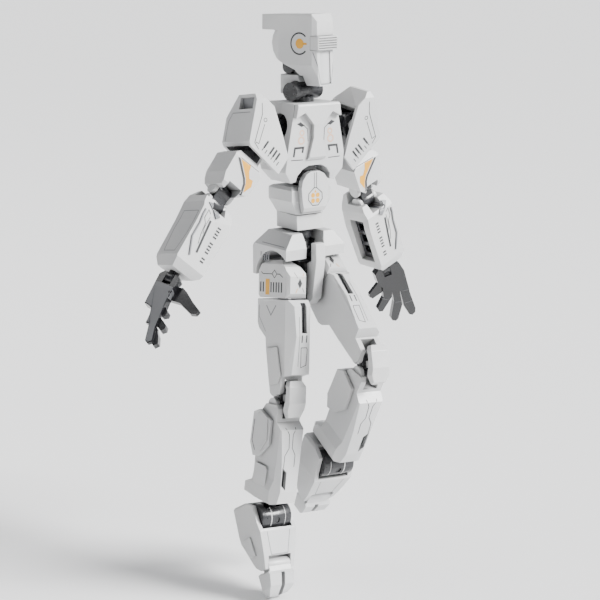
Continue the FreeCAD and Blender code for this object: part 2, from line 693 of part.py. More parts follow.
def forearm_shell(name, side):
    """White forearm, wider at the elbow, open on its inner side."""
    piece = Piece(f"forearm_shell_{name}", FOREARM, side)
    profile = [(-2.9, -1.9), (-4.8, -4.9), (-4.8, -19.4), (-3.4, -21.6), (3.4, -21.6), (4.6, -19.8),
               (5.0, -9.0),
               (5.2, -2.0), (4.6, 0.4), (3.4, 0.6), (2.8, -1.8)]
    piece.solid("side", profile, (-4.9, 4.9))
    piece.trim("front", [(2.6, 1.2), (4.4, -1.6), (4.9, -4.0), (4.5, -9.0), (4.4, -19.0), (3.2, -21.8),
                         (-3.2, -21.8),
                         (-4.6, -20.4), (-4.9, -8.0), (-4.4, -3.4), (-2.6, 1.2)])
    lugs(piece, (0, -1.9), "0.9 * dims.barrel_radius", 3.0, -5.0)
    piece.cut("side", box(-5.4, -4.3, 2.5, 2.0), (-2.05, 2.05))
    piece.round("side", (0, -1.9), PIN_BORE, (-2.85, 2.85), cut=True)
    piece.cut("side", box(-2.6, -18.4, 2.6, -6.0), (-5.2, 1.6))
    piece.round("top", (0, 0), PEG_BORE, (-23.0, -18.6), cut=True)
    return piece


def forearm_frame(name, side):
    """Black inner frame seen through the open side of the forearm."""
    piece = Piece(f"forearm_frame_{name}", FOREARM, side)
    piece.solid("side", box(-2.6, -18.4, 2.6, -6.0), (-3.2, 1.6))
    for low in (-16.8, -13.4, -10.0):
        piece.cut("side", box(-1.7, low, 1.7, low + 2.2), (-3.4, -1.6))
    return piece


def wrist_ball(name, side):
    """Black wrist: a turning peg, a collar and a cross barrel."""
    piece = Piece(f"wrist_ball_{name}", HAND, side)
    piece.round("top", (0, 0), PEG, (1.65, 4.4))
    piece.round("front", (0, 0), "0.85 * dims.barrel_radius", (-0.95, 0.95))
    piece.solid("front", box(-0.95, 0, 0.95, 1.7), (-0.95, 0.95))
    piece.round("front", (0, 0), PIN, (-2.2, 2.2))
    return piece


HANDS = {
    # palm outline, then fingers as (outline, span of the thickness); all seen from the outer side
    "left": ([(-1.8, 1.0), (1.8, 1.0), (4.0, 0.2), (4.7, -2.4), (4.6, -9.0), (0.1, -7.4), (-2.2, -5.4),
              (-3.4, -3.2), (-3.5, -0.4)], [
        ([(-2.4, -3.2), (-6.3, -5.9), (-6.5, -6.7), (-5.8, -7.5), (-2.8, -6.8), (-1.4, -5.2)], (-1.2, 0.2)),
        ([(-2.2, -4.8), (0.1, -7.0), (-0.6, -9.0), (-4.2, -12.1), (-5.2, -11.8), (-5.4, -10.7), (-2.9, -8.1)],
         (-0.9, 0.8)),
        ([(0.0, -6.8), (2.0, -8.0), (1.6, -12.4), (-0.6, -16.0), (-1.4, -16.4), (-2.4, -15.8), (-2.5, -14.9),
          (-0.4, -10.4)], (-0.7, 1.0)),
        ([(2.2, -8.0), (4.6, -8.0), (5.0, -15.2), (4.6, -16.3), (3.6, -16.8), (2.8, -16.2), (2.0, -13.0)],
         (-0.9, 0.8)),
    ]),
    "right": ([(-1.8, 1.0), (1.8, 1.0), (2.8, -0.2), (2.3, -8.5), (-2.8, -8.8), (-2.2, -4.0), (-2.6, 0.2)], [
        ([(1.0, -7.0), (2.3, -8.3), (0.1, -9.0), (-0.4, -10.7), (-0.6, -12.9), (-1.7, -12.8), (-1.9, -14.2),
          (-2.8, -17.0), (-3.6, -17.4), (-4.6, -16.6), (-3.4, -13.2), (-2.7, -8.0)], (0.2, 1.4)),
        ([(1.0, -7.0), (-2.6, -7.2), (-3.7, -8.0), (-3.8, -8.9), (-2.8, -9.5), (0.2, -9.0)], (-2.0, 0.4)),
        ([(-0.6, -8.8), (-2.8, -10.0), (-5.1, -11.3), (-5.4, -12.3), (-4.6, -13.1), (-2.4, -12.0),
          (-0.9, -10.8)],
         (-1.7, 0.5)),
        ([(-1.4, -11.4), (-3.2, -12.6), (-4.8, -14.4), (-5.7, -16.2), (-4.9, -17.2), (-3.4, -16.0),
          (-2.1, -13.8)],
         (-1.4, 0.5)),
        ([(-0.6, -1.6), (-3.6, -0.8), (-5.0, -1.4), (-7.7, -3.2), (-10.2, -4.5), (-9.9, -5.7), (-8.6, -6.1),
          (-4.8, -4.6), (-0.6, -5.0)], (-2.3, -0.8)),
    ]),
}


def hand(name, side):
    """Black hand: forked palm, thumb and fingers; the left one is open and the right one half closed."""
    piece = Piece(f"hand_{name}", HAND, side)
    palm, fingers = HANDS[name]
    piece.solid("side", palm, (-1.4, 1.4))
    for outline, span in fingers:
        piece.solid("side", outline, span)
    piece.cut("front", box(-1.8, -2.1, 1.8, 2.2), (-1.1, 1.1))
    piece.round("front", (0, 0), PIN_BORE, (-2.4, 2.4), cut=True)
    return piece


# ---------------------------------------------------------------------------------------------
# Legs.  Frames: the hip centre down to the knee, then the knee, then the ankle.
# ---------------------------------------------------------------------------------------------
HIP = ("hip_width", "hip_length", "hip_height")
THIGH = ("thigh_width", "thigh_depth", "thigh_length")
SHIN = ("shin_width", "shin_depth", "shin_length")
FOOT = ("foot_width", "foot_length", "foot_height")


def hip_ball(name, side):
    """Black ball that swings on the pelvis pin."""
    piece = Piece(f"hip_ball_{name}", HIP, side)
    piece.ball((0, 0, 0), "dims.hip_ball_radius")
    piece.round("side", (0, 0), "0.7 * dims.hip_ball_radius", (-3.4, -1.0))
    piece.round("front", (0, 0), PIN, (-4.6, 4.6))
    piece.round("side", (0, 0), PEG_BORE, (-3.5, -1.3), cut=True)
    return piece


def hip_block(name, side):
    """White block around the hip ball with a rounded top and the peg of the thigh."""
    piece = Piece(f"hip_block_{name}", HIP, side)
    profile = [(-6.5, -3.4), (-5.5, -4.6), (5.8, -4.6), (6.9, -3.4), (7.1, 1.6), (4.2, 4.9), (-2.6, 5.2),
               (-5.2, 3.4),
               (-6.5, 1.0)]
    piece.solid("side", profile, (-3.2, 3.2))
    piece.trim("front", [(-3.2, -4.8), (-3.2, 1.0), (-1.6, 3.5), (0.4, 5.3), (2.2, 5.3), (3.2, 4.0),
                         (3.2, -4.8)])
    piece.trim("top", [(-3.2, 7.4), (-3.2, -5.6), (-2.3, -6.6), (2.3, -6.6), (3.2, -5.6), (3.2, 6.4),
                       (2.4, 7.4)])
    piece.ball((0, 0, 0), "dims.hip_ball_radius + dims.running_gap", cut=True)
    piece.cut("front", [(-3.4, -2.5), (-0.6, -2.3), (1.0, 1.8), (0.8, 5.5), (-3.4, 5.5)], (-2.05, 2.05))
    piece.round("front", (0, 0), PIN_BORE, (-4.65, 4.65), cut=True)
    piece.round("top", (0, 0), PEG, (-9.6, -4.5))
    return piece


def thigh_shell(name, side):
    """White thigh: deep at the hip, stepped behind, with bevelled front edges and a knee fork."""
    piece = Piece(f"thigh_shell_{name}", THIGH, side)
    profile = [(-6.4, -5.0), (-7.6, -6.6), (-8.1, -14.2), (-7.3, -24.0), (-4.5, -24.8), (-4.2, -28.8),
               (-1.6, -29.6),
               (0.2, -29.2), (0.9, -26.1), (2.2, -18.8), (2.7, -14.9), (5.6, -12.6), (7.7, -8.6), (7.7, -5.8),
               (7.0, -5.0)]
    piece.solid("side", profile, (-3.4, 3.4))
    piece.trim("top", [(-3.4, 6.4), (-3.4, -7.4), (-2.8, -8.1), (1.3, -8.1), (3.4, -5.9), (3.4, 6.4),
                       (2.2, 7.8),
                       (-2.2, 7.8)])
    piece.round("top", (0, 0), PEG_BORE, (-9.8, -4.9), cut=True)
    piece.round("side", (-1.0, -28.0), BARREL, (-3.1, 3.1))
    piece.cut("side", box(-9.0, -31.0, 4.0, -25.3), (-2.05, 2.05))
    piece.round("side", (-1.0, -28.0), PIN_BORE, (-2.95, 2.95), cut=True)
    piece.cut("front", box(-2.0, -13.4, -0.4, -5.6), (-8.4, -6.9))
    return piece


def thigh_panel(name, side):
    """Thin white panel on the outer side of the thigh."""
    piece = Piece(f"thigh_panel_{name}", THIGH, side)
    outline = [(-3.1, -17.0), (1.4, -17.7), (1.2, -21.0), (-0.1, -27.1), (-3.4, -26.4), (-4.8, -24.1)]
    piece.solid("side", outline, (3.4, 3.9))
    return piece


def knee_link(name, side):
    return link(f"knee_link_{name}", SHIN, side, dim("knee_gap"), 1.9, 2.85)


def knee_cap(name, side):
    """White shield in front of the knee, carried by the link."""
    piece = Piece(f"knee_cap_{name}", SHIN, side)
    profile = [(-3.9, 4.7), (-5.3, 4.9), (-6.3, 3.4), (-6.6, -0.8), (-5.6, -4.5), (-4.1, -5.1), (-3.8, -3.0),
               (-4.7, 0.0), (-4.7, 2.6)]
    piece.solid("side", profile, (-2.6, 2.6))
    piece.solid("side", box(-4.9, -0.9, -1.5, 0.9), (-1.2, 1.2))
    piece.trim("front", mirrored([(1.7, 5.2), (2.6, 3.6), (2.6, -2.6), (1.6, -5.4)]))
    return piece


def shin_shell(name, side):
    """White shin with bevelled front edges and a flared cuff over the ankle."""
    piece = Piece(f"shin_shell_{name}", SHIN, side)
    profile = [(-2.6, -1.4), (-3.3, -2.4), (-3.3, -5.8), (-5.6, -7.4), (-6.4, -16.0), (-6.7, -23.6),
               (-6.2, -26.8),
               (-5.0, -27.2), (2.2, -27.3), (8.0, -26.6), (8.6, -25.2), (3.9, -22.8), (4.2, -17.0), (4.4,
                                                                                                     -14.0),
               (3.9, -4.6), (2.2, -2.2)]
    piece.solid("side", profile, (-4.4, 4.4))
    piece.trim("front", mirrored([(3.6, -1.0), (3.8, -20.6), (4.4, -23.6), (4.4, -26.6), (3.6, -28.0)]))
    piece.trim("top", [(-4.4, 6.6), (-4.4, -4.4), (-2.4, -6.8), (2.4, -6.8), (4.4, -4.4), (4.4, 6.6),
                       (2.8, 8.8),
                       (-2.8, 8.8)])
    piece.round("side", (0, -2.1), BARREL, (-3.1, 3.1))
    piece.cut("side", box(-7.0, -4.9, 5.0, 0.4), (-2.05, 2.05))
    piece.round("side", (0, -2.1), PIN_BORE, (-2.95, 2.95), cut=True)
    piece.round("top", (0, 0), PEG_BORE, (-28.0, -22.4), cut=True)
    piece.cut("front", [(2.4, -17.0), (1.0, -18.4), (1.0, -23.2), (2.4, -21.8)], (-7.0, -5.7))
    piece.solid("side", [(-2.2, -18.6), (-1.6, -18.0), (2.6, -18.0), (3.2, -18.6), (3.2, -24.4),
                         (-2.2, -24.4)],
                (3.4, 4.35))
    return piece


def calf_guard(name, side):
    """White saddle around the back of the shin."""
    piece = Piece(f"calf_guard_{name}", SHIN, side)
    profile = [(-1.9, -5.6), (3.4, -3.9), (5.9, -5.2), (6.2, -13.4), (4.4, -16.6), (1.4, -16.0),
               (-2.3, -12.0)]
    piece.solid("side", profile, (-4.6, 4.6))
    piece.cut("side", [(-4.0, -2.0), (4.5, -2.0), (4.5, -20.0), (-4.0, -20.0)], (-3.8, 3.8))
    return piece


def ankle_ball(name, side):
    """Black ankle: peg and collar in the cuff and the ball of the foot joint."""
    piece = Piece(f"ankle_ball_{name}", SHIN, side)
    piece.ball((0, 0, 0), "dims.ball_radius")
    piece.round("top", (0, 0), PEG, (1.0, 9.6))
    piece.round("top", (0, 0), "1.3 * dims.peg_radius", (3.4, 4.3))
    piece.round("front", (0, 0), PIN, (-3.2, 3.2))
    return piece


def ankle_drum(name, side):
    """Black drum across the foot that holds the ankle ball."""
    piece = Piece(f"ankle_drum_{name}", FOOT, side)
    piece.round("side", (0, 0), "dims.drum_radius", (-4.5, 4.5))
    piece.round("side", (0, 0), PEG, (-5.5, 5.5))
    piece.ball((0, 0, 0), "dims.ball_radius + dims.running_gap", cut=True)
    piece.cut("top", box(-2.9, -1.6, 2.9, 1.6), (0.0, 4.0))
    piece.round("front", (0, 0), PIN_BORE, (-4.0, 4.0), cut=True)
    return piece


def foot_shell(name, side):
    """White foot: side walls that carry the drum, deep heel, instep block and toe ears."""
    piece = Piece(f"foot_shell_{name}", FOOT, side)
    profile = [(4.4, -7.4), (4.4, -2.4), (2.8, 1.4), (-2.0, 2.0), (-4.2, 2.6), (-10.4, 0.9), (-13.6, -0.4),
               (-13.6, -2.6), (-12.4, -4.4), (-5.4, -7.4)]
    piece.solid("side", profile, (-5.8, 5.8))
    piece.trim("top", [(-5.0, 4.6), (-5.8, 3.8), (-5.8, -3.6), (-4.7, -12.0), (-4.4, -14.0), (4.4, -14.0),
                       (4.7, -12.0), (5.8, -3.6), (5.8, 3.8), (5.0, 4.6)])
    piece.round("side", (0, 0), "dims.drum_radius + dims.running_gap", (-4.65, 4.65), cut=True)
    piece.cut("side", [(-3.55, 0.0), (3.2, 0.0), (3.2, -2.2), (6.0, -2.2), (6.0, 4.0), (-3.55, 4.0)],
              (-4.65, 4.65))
    piece.round("side", (0, 0), PEG_BORE, (-5.55, 5.55), cut=True)
    piece.cut("side", [(-10.4, 3.0), (-10.4, -8.0), (-14.0, -8.0), (-14.0, 3.0)], (-3.5, 3.5))
    piece.round("side", (-12.2, -1.5), PIN_BORE, (-4.15, 4.15), cut=True)
    return piece


def toes(name, side):
    """White toe piece: hinge barrel and two toes, the outer one longer, with a gap between them."""
    piece = Piece(f"toes_{name}", FOOT, side)
    piece.round("side", (0, 0), "0.85 * dims.barrel_radius", (-3.4, 3.4))
    piece.solid("side", box(-2.4, -1.4, 0, 1.4), (-3.4, 3.4))
    piece.solid("side", [(-1.9, 1.3), (-3.0, 1.9), (-5.8, 0.9), (-8.2, -1.9), (-8.0, -3.4), (-2.2, -3.4),
                         (-1.9, -2.6)],
                (-4.0, 4.0))
    piece.trim("top", [(-3.4, 2.0), (-3.4, -1.7), (-3.8, -2.2), (-3.4, -6.6), (-2.4, -7.6), (2.6, -8.6),
                       (3.7, -6.2),
                       (4.0, -2.2), (3.4, -1.7), (3.4, 2.0)])
    piece.cut("top", box(-0.8, -9.0, 0.3, -2.6), (-1.6, 3.0))
    piece.cut("top", box(-0.8, -9.0, 0.3, -4.0), (-4.0, 0.0))
    piece.round("side", (0, 0), PIN, (-4.1, 4.1))
    return piece


# ---------------------------------------------------------------------------------------------
# The assembly: which frame each piece stands in
# ---------------------------------------------------------------------------------------------
TRUNK_PIECES = [
    (pelvis_shell, "pelvis"), (pelvis_frame, "pelvis"), (crotch_guard, "pelvis"), (waist_joint, "waist_lean"),
    (waist_band, "waist_turn"), (abdomen_core, "waist_turn"), (abdomen_plate, "waist_turn"),
    (spine_link, "spine_bend"), (chest_core, "spine_lean"), (chest_front, "spine_lean"),
    (chest_back, "spine_lean"), (chest_crest, "spine_lean"), (neck_ball, "neck"), (neck_riser, "neck"),
    (head_shell, "head"), (head_core, "head"), (face_plate, "head"), (visor, "head"),
]
LIMB_PIECES = [
    (shoulder_ball, "shoulder"), (pauldron, "pauldron"), (arm_root, "arm_root"), (upper_arm, "upper_arm"),
    (elbow_link, "elbow_link"), (forearm_shell, "forearm"), (forearm_frame, "forearm"), (wrist_ball, "wrist"),
    (hand, "hand"), (hip_ball, "hip"), (hip_block, "hip_block"), (thigh_shell, "thigh"), (thigh_panel,
                                                                                          "thigh"),
    (knee_link, "knee_link"), (knee_cap, "knee_link"), (shin_shell, "shin"), (calf_guard, "shin"),
    (ankle_ball, "ankle"), (ankle_drum, "ankle"), (foot_shell, "foot"), (toes, "toe"),
]


def build():
    """Make every piece and set it in its frame."""
    frames = pose_frames()
    for make, frame in TRUNK_PIECES:
        make().body.Placement = frames[frame]
    for name, side in SIDES.items():
        for make, frame in LIMB_PIECES:
            make(name, side).body.Placement = frames[f"{frame}_{name}"]
    return frames


def check():
    """Stop on any failed object or unsound shape."""
    for item in doc.Objects:
        if {"Invalid", "Error"} & set(item.State):
            raise RuntimeError(f"{item.Name} failed: {item.State}")
    for label, body in NODES.items():
        if body.Shape.isNull() or not body.Shape.isValid():
            raise RuntimeError(f"{label} has no sound shape")


def export():
    """Write one STEP file for each piece."""
    os.makedirs("parts", exist_ok=True)
    for label, body in NODES.items():
        body.Shape.exportStep(os.path.join("parts", f"{label}.step"))


build()
doc.recompute()
check()
export()
for label, body in NODES.items():
    print(f"{label:24s} volume {body.Shape.Volume:8.1f}  solids {len(body.Shape.Solids)}")
print(len(NODES), "pieces")
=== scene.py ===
import json
import math

import bmesh
import bpy
from mathutils import Matrix, Vector
from mathutils.bvhtree import BVHTree


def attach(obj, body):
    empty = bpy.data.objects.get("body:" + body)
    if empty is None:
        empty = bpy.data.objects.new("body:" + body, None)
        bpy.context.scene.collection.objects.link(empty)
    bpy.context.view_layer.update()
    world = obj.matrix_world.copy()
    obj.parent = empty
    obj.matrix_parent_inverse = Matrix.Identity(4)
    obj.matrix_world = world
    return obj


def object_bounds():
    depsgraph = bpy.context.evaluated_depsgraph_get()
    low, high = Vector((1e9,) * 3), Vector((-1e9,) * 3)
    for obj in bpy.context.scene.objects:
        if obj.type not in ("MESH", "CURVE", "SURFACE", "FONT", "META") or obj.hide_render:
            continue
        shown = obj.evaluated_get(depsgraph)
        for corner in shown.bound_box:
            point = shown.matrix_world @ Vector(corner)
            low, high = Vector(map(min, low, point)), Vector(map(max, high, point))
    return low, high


# Articulated humanoid robot figure: the materials, printed marks and raised trim over its pieces.
# Outlines are in millimetres in each limb's own frame (front towards -Y, limb hanging along -Z);
# MM turns them into metres.  SIDES holds +1 for the left limb and -1 for the right one.
MM = 0.001
SIDES = {"left": 1, "right": -1}

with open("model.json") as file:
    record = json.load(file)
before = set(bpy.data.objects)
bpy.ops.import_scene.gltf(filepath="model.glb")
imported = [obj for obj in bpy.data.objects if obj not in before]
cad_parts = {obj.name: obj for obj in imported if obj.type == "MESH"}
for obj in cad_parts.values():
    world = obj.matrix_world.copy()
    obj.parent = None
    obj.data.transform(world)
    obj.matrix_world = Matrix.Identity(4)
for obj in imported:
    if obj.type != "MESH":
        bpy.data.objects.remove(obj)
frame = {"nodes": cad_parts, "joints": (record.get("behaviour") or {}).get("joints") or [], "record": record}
cad_low, cad_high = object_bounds()
nodes = frame["nodes"]
joints = {joint["name"]: joint for joint in frame["joints"]}


# ---------------------------------------------------------------------------------------------
# Limb frames, read from the joints
# ---------------------------------------------------------------------------------------------
def spot(name):
    return Vector(joints[name]["pos_m"])


def direction(name, sign=1.0):
    return Vector(joints[name]["axis"]) * sign


def axes(origin, x, z):
    """A frame from its origin, its X axis and its Z axis."""
    x = x.normalized()
    y = z.cross(x).normalized()
    z = x.cross(y)
    matrix = Matrix((x, y, z)).transposed().to_4x4()
    matrix.translation = origin
    return matrix


WORLD_X = Vector((1, 0, 0))
WORLD_Z = Vector((0, 0, 1))
KNEE_GAP = 2.1  # from the knee's middle to each of its pins
ELBOW_GAP = 1.9
TOE_OFFSET = Vector((-12.2, -1.5))  # (y, z) of the toe pin in the foot's frame


def limb_frames():
    """The rest frame of every limb, by name."""
    hips = (spot("hip_swing_left") + spot("hip_swing_right")) / 2
    found = {
        "pelvis": axes(hips, WORLD_X, WORLD_Z),
        "abdomen": axes(spot("waist_turn"), WORLD_X, WORLD_Z),
        "chest": axes(spot("spine_lean"), WORLD_X, WORLD_Z),
        "neck": axes(spot("neck_turn"), direction("neck_bend"), WORLD_Z),
        "head": axes(spot("head_nod"), direction("head_nod"), WORLD_Z),
    }
    for name, side in SIDES.items():
        ahead = direction(f"shoulder_swing_{name}", -1)
        pin = direction(f"pauldron_raise_{name}", -side)
        found[f"pauldron_{name}"] = axes(spot(f"pauldron_raise_{name}"), ahead, ahead.cross(pin))
        twist = direction(f"arm_twist_{name}", side)
        elbow = direction(f"elbow_upper_{name}", -1)
        found[f"upper_arm_{name}"] = axes(spot(f"arm_twist_{name}"), elbow, twist)
        lower = direction(f"wrist_turn_{name}", side)
        found[f"forearm_{name}"] = axes(spot(f"elbow_lower_{name}") + lower * ELBOW_GAP * MM,
                                        direction(f"elbow_lower_{name}", -1), lower)
        knuckle = direction(f"hand_flex_{name}", side)
        found[f"hand_{name}"] = axes(spot(f"hand_flex_{name}"), knuckle.cross(lower), lower)
        knee = direction(f"knee_upper_{name}")
        thigh = direction(f"thigh_turn_{name}")
        found[f"thigh_{name}"] = axes(spot(f"hip_swing_{name}"), knee, thigh)
        middle = (spot(f"knee_upper_{name}") + spot(f"knee_lower_{name}")) / 2
        found[f"knee_{name}"] = axes(middle, knee, spot(f"knee_upper_{name}") - spot(f"knee_lower_{name}"))
        shin = direction(f"ankle_turn_{name}", side)
        found[f"shin_{name}"] = axes(spot(f"knee_lower_{name}") + shin * KNEE_GAP * MM,
                                     direction(f"knee_lower_{name}"), shin)
        found[f"foot_{name}"] = foot_frame(name)
    return found


def foot_frame(name):
    """The foot's frame, from the ankle axis and the place of the toe pin."""
    across = direction(f"foot_pitch_{name}").normalized()
    ankle = spot(f"foot_pitch_{name}")
    along = spot(f"toe_bend_{name}") - ankle
    along -= across * along.dot(across)
    angle = math.atan2(TOE_OFFSET.y, TOE_OFFSET.x)
    back = Matrix.Rotation(-angle, 3, across) @ along.normalized()
    return axes(ankle, across, across.cross(back))


FRAMES = limb_frames()


# ---------------------------------------------------------------------------------------------
# Materials
# ---------------------------------------------------------------------------------------------
def new_material(name):
    material = bpy.data.materials.new(name)
    material.use_nodes = True
    return material, material.node_tree.nodes, material.node_tree.links


DRIFT_SCALE = 55.0
CREASE_DEPTH = 0.0035
CREASE_SHADE = 0.45
GLOSS_SPREAD = 0.07
GRAIN_HEIGHT = 0.0004


def plastic(name, colour, shade, roughness, coat=0.0, grain=900.0, bump=0.02):
    """Moulded plastic: drifting tint, tooling grain in gloss and height, and painted shade that darkens the
    creases.
    """
    material, tree, link = new_material(name)
    surface = tree["Principled BSDF"]
    surface.inputs["Coat Weight"].default_value = coat
    surface.inputs["IOR"].default_value = 1.53
    place = tree.new("ShaderNodeTexCoord")
    flow = tree.new("ShaderNodeTexNoise")
    flow.inputs["Scale"].default_value = DRIFT_SCALE
    flow.inputs["Detail"].default_value = 4.0
    link.new(place.outputs["Object"], flow.inputs["Vector"])
    tint = tree.new("ShaderNodeValToRGB")
    tint.color_ramp.elements[0].position = 0.35
    tint.color_ramp.elements[0].color = (*shade, 1)
    tint.color_ramp.elements[1].position = 0.65
    tint.color_ramp.elements[1].color = (*colour, 1)
    link.new(flow.outputs["Fac"], tint.inputs["Fac"])
    # Painted shade: ambient occlusion darkens the base colour in creases and between pieces.
    crease = tree.new("ShaderNodeAmbientOcclusion")
    crease.samples = 6
    crease.inputs["Distance"].default_value = CREASE_DEPTH
    soft = tree.new("ShaderNodeMapRange")
    soft.inputs["From Min"].default_value = 0.15
    soft.inputs["From Max"].default_value = 0.9
    soft.inputs["To Min"].default_value = CREASE_SHADE
    soft.inputs["To Max"].default_value = 1.0
    link.new(crease.outputs["AO"], soft.inputs["Value"])
    painted_crease_shade = tree.new("ShaderNodeMix")
    painted_crease_shade.data_type = "RGBA"
    painted_crease_shade.blend_type = "MULTIPLY"
    painted_crease_shade.inputs["Factor"].default_value = 1.0
    link.new(tint.outputs["Color"], painted_crease_shade.inputs[6])
    link.new(soft.outputs["Result"], painted_crease_shade.inputs[7])
    link.new(painted_crease_shade.outputs[2], surface.inputs["Base Color"])
    tooling = tree.new("ShaderNodeTexNoise")
    tooling.inputs["Scale"].default_value = grain
    tooling.inputs["Detail"].default_value = 6.0
    tooling.inputs["Roughness"].default_value = 0.65
    link.new(place.outputs["Object"], tooling.inputs["Vector"])
    gloss = tree.new("ShaderNodeMapRange")
    gloss.inputs["From Min"].default_value = 0.3
    gloss.inputs["From Max"].default_value = 0.7
    gloss.inputs["To Min"].default_value = roughness - GLOSS_SPREAD
    gloss.inputs["To Max"].default_value = roughness + GLOSS_SPREAD
    link.new(tooling.outputs["Fac"], gloss.inputs["Value"])
    link.new(gloss.outputs["Result"], surface.inputs["Roughness"])
    relief = tree.new("ShaderNodeBump")
    relief.inputs["Strength"].default_value = bump
    relief.inputs["Distance"].default_value = GRAIN_HEIGHT
    link.new(tooling.outputs["Fac"], relief.inputs["Height"])
    link.new(relief.outputs["Normal"], surface.inputs["Normal"])
    return material


WHITE = plastic("armour_white", (0.62, 0.62, 0.615), (0.57, 0.575, 0.58), 0.36, grain=1400.0, bump=0.10)
BLACK = plastic("frame_black", (0.022, 0.023, 0.026), (0.012, 0.012, 0.014), 0.30, coat=0.25,
                grain=800.0, bump=0.08)
HAND = plastic("hand_black", (0.014, 0.014, 0.016), (0.007, 0.007, 0.008), 0.20, coat=0.5,
               grain=500.0, bump=0.06)
GREY = plastic("panel_grey", (0.20, 0.205, 0.215), (0.16, 0.165, 0.175), 0.40, grain=1200.0, bump=0.10)
PLATE = plastic("plate_grey", (0.11, 0.112, 0.118), (0.085, 0.087, 0.092), 0.34, coat=0.15, bump=0.08)
INK = plastic("line_black", (0.018, 0.018, 0.020), (0.030, 0.030, 0.032), 0.42, grain=2600.0, bump=0.05)
AMBER = plastic("mark_amber", (0.80, 0.40, 0.020), (0.72, 0.33, 0.015), 0.38, grain=2200.0, bump=0.05)
PEACH = plastic("mark_peach", (0.78, 0.49, 0.33), (0.72, 0.43, 0.28), 0.40, grain=2200.0, bump=0.05)

BY_SLOT = {"white_shell": WHITE, "joint_black": BLACK, "hand_black": HAND}


# ---------------------------------------------------------------------------------------------
# The moulded pieces: welded, with small rounded edges
# ---------------------------------------------------------------------------------------------
MOULD_EDGE = 0.22
WELD_REACH = 0.000002


def round_edges(item, width, angle):
    """Bevel the edges that are sharper than an angle in degrees."""
    edge = item.modifiers.new("edge", "BEVEL")
    edge.width = width * MM
    edge.segments = 2
    edge.limit_method = "ANGLE"
    edge.angle_limit = math.radians(angle)
    edge.use_clamp_overlap = True
    return edge


def finish_moulding(item, material):
    item.data.materials.clear()
    item.data.materials.append(material)
    weld = item.modifiers.new("weld", "WELD")
    weld.merge_threshold = WELD_REACH
    round_edges(item, MOULD_EDGE, 28)


slots = {entry["node"]: entry["material_slot"] for entry in frame["record"]["subparts"]}
for name, item in nodes.items():
    finish_moulding(item, BY_SLOT[slots[name]])


# ---------------------------------------------------------------------------------------------
# Printed marks and raised trim, laid on the pieces' own surfaces
# ---------------------------------------------------------------------------------------------
VIEWS = {
    # axes of the outline, axis looked along, sign of the outside
    "front": (0, 2, 1, -1),
    "rear": (0, 2, 1, 1),
    "outer": (1, 2, 0, 1),
    "inner": (1, 2, 0, -1),
    "above": (0, 1, 2, 1),
}
RAY_START = 40.0  # far enough out to clear every piece
TRIM_ROOT = 0.15  # how far raised trim sinks below the surface that it stands on
TRIM_EDGE = 0.10


def surface_of(names):
    """A ray tree of some pieces, in the row frame."""
    points = []
    faces = []
    for name in names:
        mesh = nodes[name].data
        start = len(points)
        points.extend(vertex.co.copy() for vertex in mesh.vertices)
        faces.extend([start + index for index in face.vertices] for face in mesh.polygons)
    return BVHTree.FromPolygons(points, faces)


SHARPEST_MITER = 0.35


def band(points, width, closed=False):
    """Quads of a line of some width with mitred corners."""
    count = len(points)
    rims = []
    for i, (u, v) in enumerate(points):
        lines = []
        if closed or i > 0:
            before = points[i - 1]
            lines.append(Vector((u - before[0], v - before[1])).normalized())
        if closed or i < count - 1:
            after = points[(i + 1) % count]
            lines.append(Vector((after[0] - u, after[1] - v)).normalized())
        along = sum(lines, Vector((0, 0))).normalized()
        normal = Vector((-along.y, along.x))
        square = Vector((-lines[0].y, lines[0].x))
        miter = width / 2 / max(SHARPEST_MITER, normal.dot(square))
        out_u = normal.x * miter
        out_v = normal.y * miter
        rims.append(((u + out_u, v + out_v), (u - out_u, v - out_v)))
    quads = []
    for i in range(count if closed else count - 1):
        start, end = rims[i], rims[(i + 1) % count]
        quads.append([start[0], end[0], end[1], start[1]])
    return quads


def arc(centre, radius, start=0.0, end=360.0, steps=28):
    """Points round part of a circle, angles in degrees."""
    found = []
    whole = abs(end - start) >= 360
    for i in range(steps if whole else steps + 1):
        angle = math.radians(start + (end - start) * i / steps)
        found.append((centre[0] + radius * math.cos(angle), centre[1] + radius * math.sin(angle)))
    return found


def disc(centre, radius):
    return [arc(centre, radius, steps=24)]


def ring(centre, radius, width, start=0.0, end=360.0):
    return band(arc(centre, radius, start, end), width, closed=abs(end - start) >= 360)


def bars(start, step, size, tilt, count, skip=()):
    """A row of slanted bars; skip leaves gaps in the row."""
    found = []
    for i in range(count):
        if i in skip:
            continue
        u = start[0] + step[0] * i
        v = start[1] + step[1] * i
        found.append([(u, v), (u + size[0], v + size[1]), (u + size[0] + tilt[0], v + size[1] + tilt[1]),
                      (u + tilt[0], v + tilt[1])])
    return found


